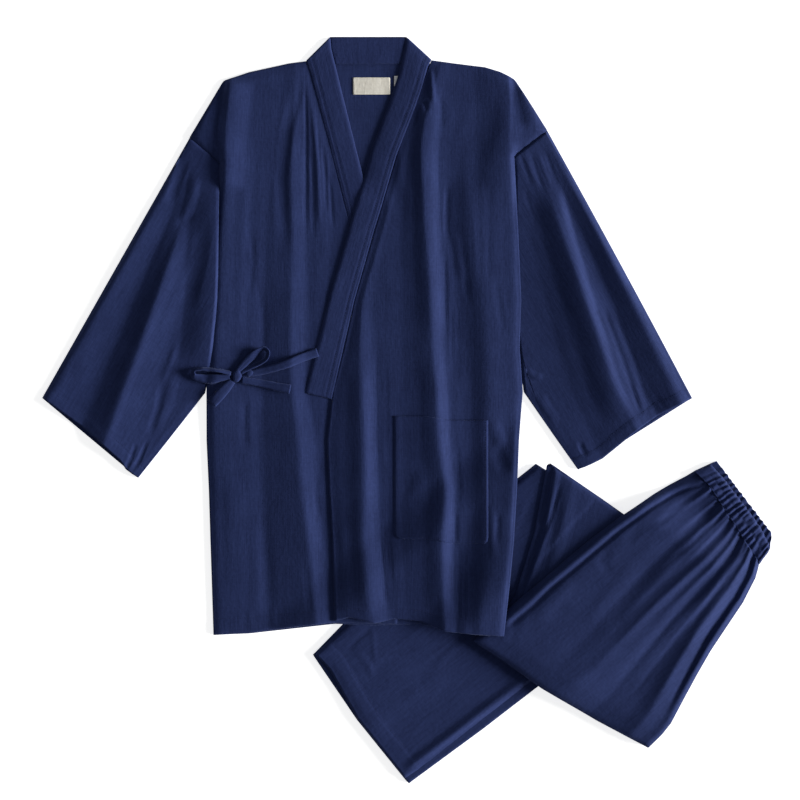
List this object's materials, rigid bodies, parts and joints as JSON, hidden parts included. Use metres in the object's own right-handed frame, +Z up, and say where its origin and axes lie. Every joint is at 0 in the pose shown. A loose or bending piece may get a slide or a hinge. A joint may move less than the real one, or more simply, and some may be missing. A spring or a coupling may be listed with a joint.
{
  "type": "kimono pyjama set",
  "caption": "Navy cotton pyjama set laid flat: a wrap jacket with wide sleeves, side bow and patch pocket, on top of its folded trousers.",
  "frame": {"origin": "on the surface that the set lies on, under the middle of the whole laid set", "axes": "+Z up from the surface, +Y towards the jacket's collar, +X towards the wearer's left sleeve"},
  "size_m": [0.951, 0.9685, 0.0284],
  "materials": {
    "double_gauze": "matt double-gauze cotton with fine slubs along the warp",
    "neck_band": "the same cotton, doubled and topstitched",
    "elastic_band": "the same cotton, gathered by elastic",
    "label": "woven tape, bare",
    "size_tag": "satin tape, bare"
  },
  "bodies": {
    "root": {"back": "double_gauze", "front_left": "double_gauze", "front_right": "double_gauze", "sleeve_left": "double_gauze", "sleeve_right": "double_gauze", "neck_band_back": "neck_band", "neck_band_right": "neck_band", "lapel": "neck_band", "pocket": "double_gauze", "tie_lapel": "double_gauze", "tie_side": "double_gauze", "bow_knot": "double_gauze", "bow_loop_left": "double_gauze", "bow_loop_top": "double_gauze", "bow_tail_left": "double_gauze", "bow_tail_right": "double_gauze", "leg_shown": "double_gauze", "legs_inside": "double_gauze", "thigh_shown": "double_gauze", "thighs_inside": "double_gauze", "seat_shown": "double_gauze", "seat_inside": "double_gauze", "waistband": "elastic_band", "label": "label", "size_tag": "size_tag"}
  },
  "joints": []
}
